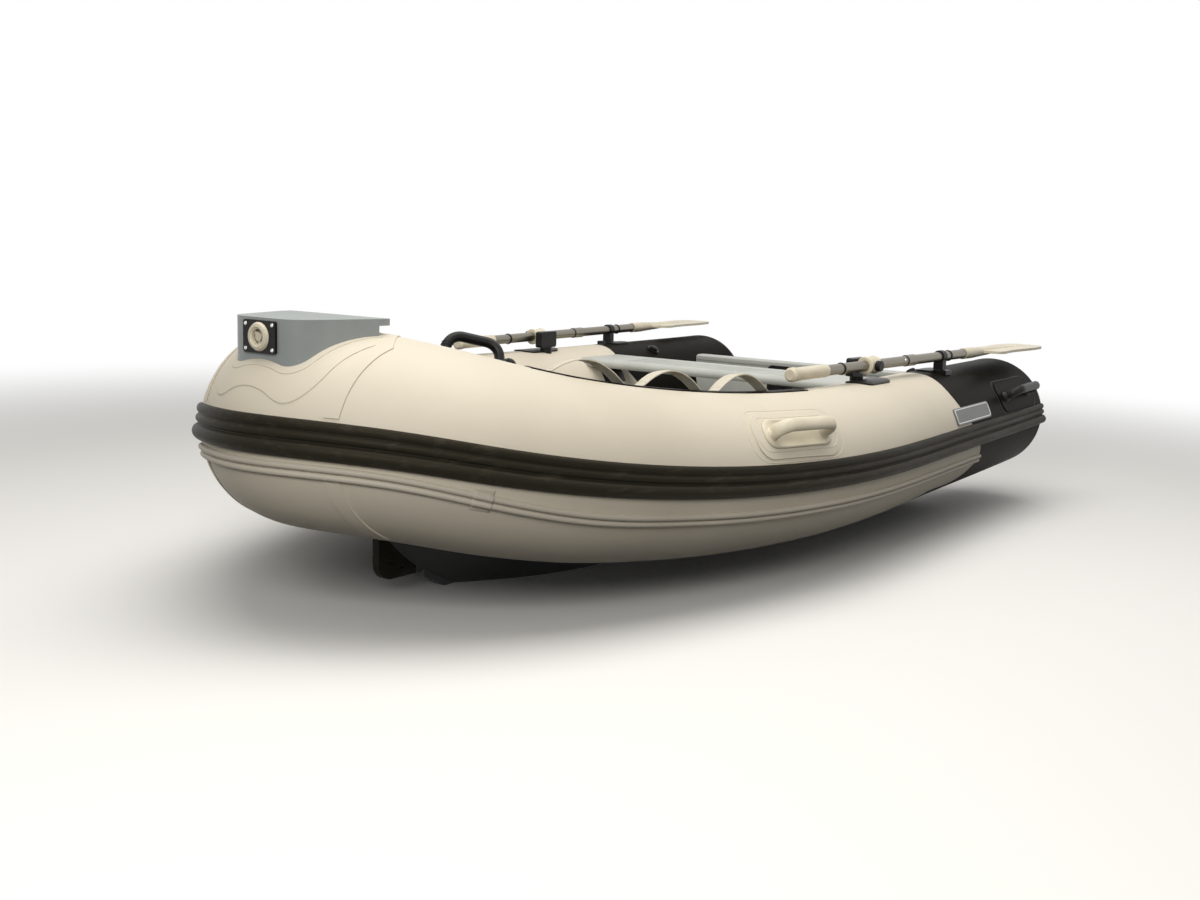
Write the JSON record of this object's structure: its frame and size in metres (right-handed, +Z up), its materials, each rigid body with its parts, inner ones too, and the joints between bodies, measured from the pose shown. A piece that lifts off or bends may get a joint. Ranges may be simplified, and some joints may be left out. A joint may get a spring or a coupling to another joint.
{
  "type": "rigid inflatable tender",
  "caption": "Small rigid inflatable boat with a V hull, light tube collar with dark aft sleeves, thwart, bow step and stowed oars that swing on rowlocks",
  "frame": {"origin": "on the centreline at the waterline, half way along the tube collar", "axes": "+X to the bow, +Y to port, +Z up"},
  "size_m": [3.2023, 1.7624, 0.8622],
  "materials": {
    "light_tube": "matt coated fabric",
    "dark_tube": "matt coated fabric",
    "black_rubber": "satin extruded rubber",
    "light_rubber": "satin extruded rubber",
    "hull_paint": "satin paint",
    "deck_grey": "matt paint",
    "step_grey": "satin paint",
    "steel": "brushed",
    "oar_metal": "anodised",
    "cream_plastic": "moulded",
    "black_plastic": "moulded",
    "webbing": "woven webbing",
    "badge_grey": "smooth, blank"
  },
  "bodies": {
    "boat": {"air_valves": "black_plastic", "badge_plates": "badge_grey", "bow_fairlead": "cream_plastic", "bow_locker": "deck_grey", "bow_patches": "light_tube", "bow_step": "step_grey", "carry_handles": "black_plastic", "carry_pads": "dark_tube", "deck": "deck_grey", "fairlead_frame": "black_plastic", "grab_handles": "cream_plastic", "grab_pads": "light_tube", "hand_straps": "webbing", "hull": "hull_paint", "lifting_eyes": "steel", "locker_hinge_pins": "steel", "motor_pads": "black_plastic", "oar_rests": "black_plastic", "rowlock_bases": "black_plastic", "rub_strake": "black_rubber", "seam_bands": "light_tube", "splash_strake": "light_rubber", "stem_lug": "black_rubber", "thwart": "step_grey", "thwart_brackets": "black_plastic", "transom": "hull_paint", "tube_bow": "light_tube", "tube_port": "light_tube", "tube_port_aft": "dark_tube", "tube_starboard": "light_tube", "tube_starboard_aft": "dark_tube", "wear_strips": "dark_tube"},
    "oar_port": {"oar_port_shaft": "oar_metal", "oar_port_blade": "cream_plastic", "oar_port_grip": "cream_plastic", "oar_port_collar": "cream_plastic", "oar_port_clip": "black_plastic", "oar_port_swivel": "black_plastic"},
    "oar_starboard": {"oar_starboard_shaft": "oar_metal", "oar_starboard_blade": "cream_plastic", "oar_starboard_grip": "cream_plastic", "oar_starboard_collar": "cream_plastic", "oar_starboard_clip": "black_plastic", "oar_starboard_swivel": "black_plastic"},
    "locker_hatch": {"locker_hatch": "step_grey"}
  },
  "joints": [
    {"name": "oar_port_swing", "type": "hinge", "parent": "boat", "child": "oar_port", "pos_m": [-0.35464, 0.61008, 0.56], "axis": [0, 0, 1], "range_deg": [-110, 0]},
    {"name": "oar_starboard_swing", "type": "hinge", "parent": "boat", "child": "oar_starboard", "pos_m": [-0.35464, -0.61008, 0.56], "axis": [0, 0, 1], "range_deg": [0, 110]},
    {"name": "locker_hatch_hinge", "type": "hinge", "parent": "boat", "child": "locker_hatch", "pos_m": [0.824, 0, 0.4725], "axis": [0, 1, 0], "range_deg": [0, 100]}
  ]
}
